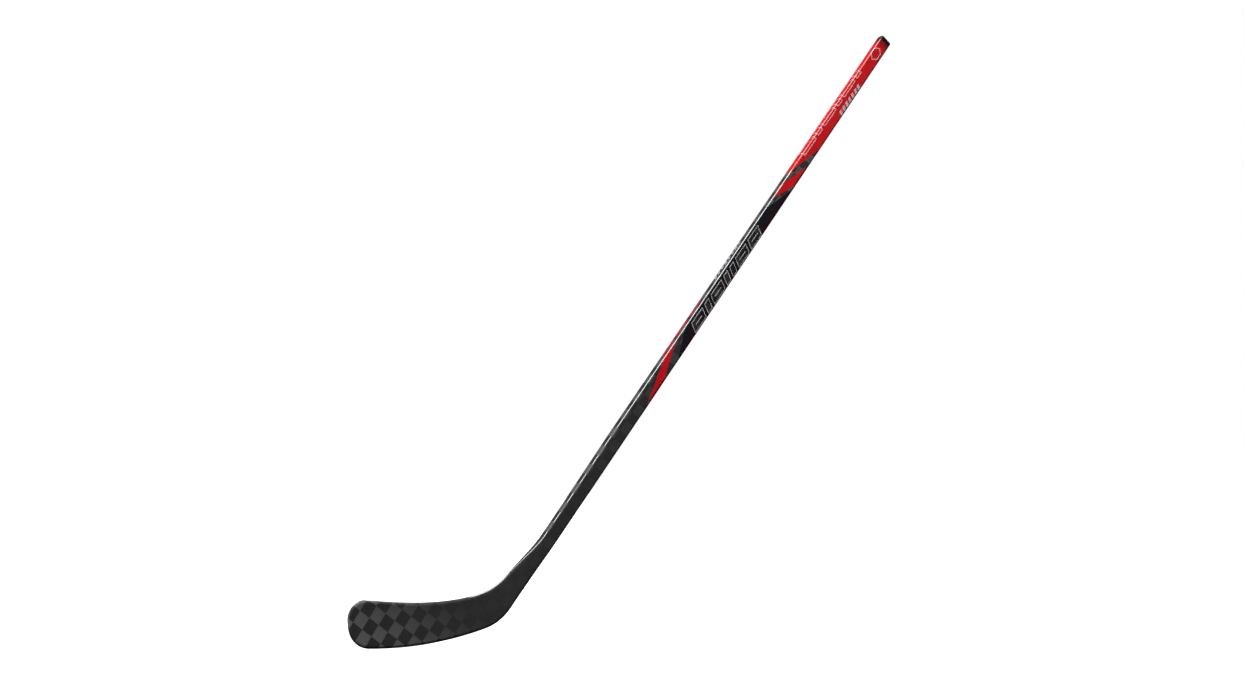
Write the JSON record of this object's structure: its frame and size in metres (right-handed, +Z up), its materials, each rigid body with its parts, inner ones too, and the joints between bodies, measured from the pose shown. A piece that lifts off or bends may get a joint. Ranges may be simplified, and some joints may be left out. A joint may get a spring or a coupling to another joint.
{
  "type": "ice hockey stick",
  "caption": "Ice hockey stick with a hollow carbon shaft, a curved foam-cored blade, painted grip zone and a pull-out end plug.",
  "frame": {"origin": "lowest point of the sole's rocker, where the blade meets the ice, in the middle of the blade's thickness", "axes": "+Z up from the ice, -X along the blade to its toe, the shaft leans to +X at 47 degrees, +Y out of the backhand side; the blade's curve is hollow towards -Y"},
  "size_m": [1.2997, 0.0683, 1.1338],
  "materials": {
    "carbon_shaft": "clear-coated spread-tow carbon, glossy",
    "carbon_blade": "clear-coated spread-tow carbon, satin gloss",
    "carbon_inner": "bare moulded carbon, matt",
    "edge_carbon": "resin-rich moulded carbon edge",
    "foam": "closed-cell structural foam",
    "adhesive": "epoxy film adhesive",
    "plug_black": "moulded ABS, fine grain",
    "panel_film": "blue-black paint with a maroon fade, under gloss clear coat",
    "red_film": "red paint under gloss clear coat",
    "silver_film": "silver ink under gloss clear coat",
    "white_film": "white ink under gloss clear coat"
  },
  "bodies": {
    "stick": {"shaft_tube": "carbon_shaft", "hosel_shell": "carbon_blade", "hosel_foam": "foam", "blade_tenon": "carbon_inner", "tenon_core": "foam", "joint_adhesive": "adhesive", "shaft_foam_dam": "foam", "forehand_skin": "carbon_blade", "backhand_skin": "carbon_blade", "core_lower": "foam", "core_stringer": "carbon_inner", "core_upper": "foam", "toe_edge_band": "edge_carbon", "sole_edge_band": "edge_carbon", "top_edge_band": "edge_carbon", "heel_block": "edge_carbon", "grip_zone_film": "red_film", "upper_flash_film": "red_film", "lower_flash_film": "red_film", "side_dash_films": "red_film", "face_motif_films": "silver_film", "side_tick_films": "white_film", "grip_tick_films": "white_film", "grip_bar_films": "white_film", "face_panel_film": "panel_film", "grip_badge_film": "white_film"},
    "plug": {"end_plug": "plug_black"}
  },
  "joints": [
    {"name": "plug_slide", "type": "slide", "parent": "stick", "child": "plug", "axis": [0.682, 0, 0.7314], "range_m": [0, 0.042]}
  ]
}
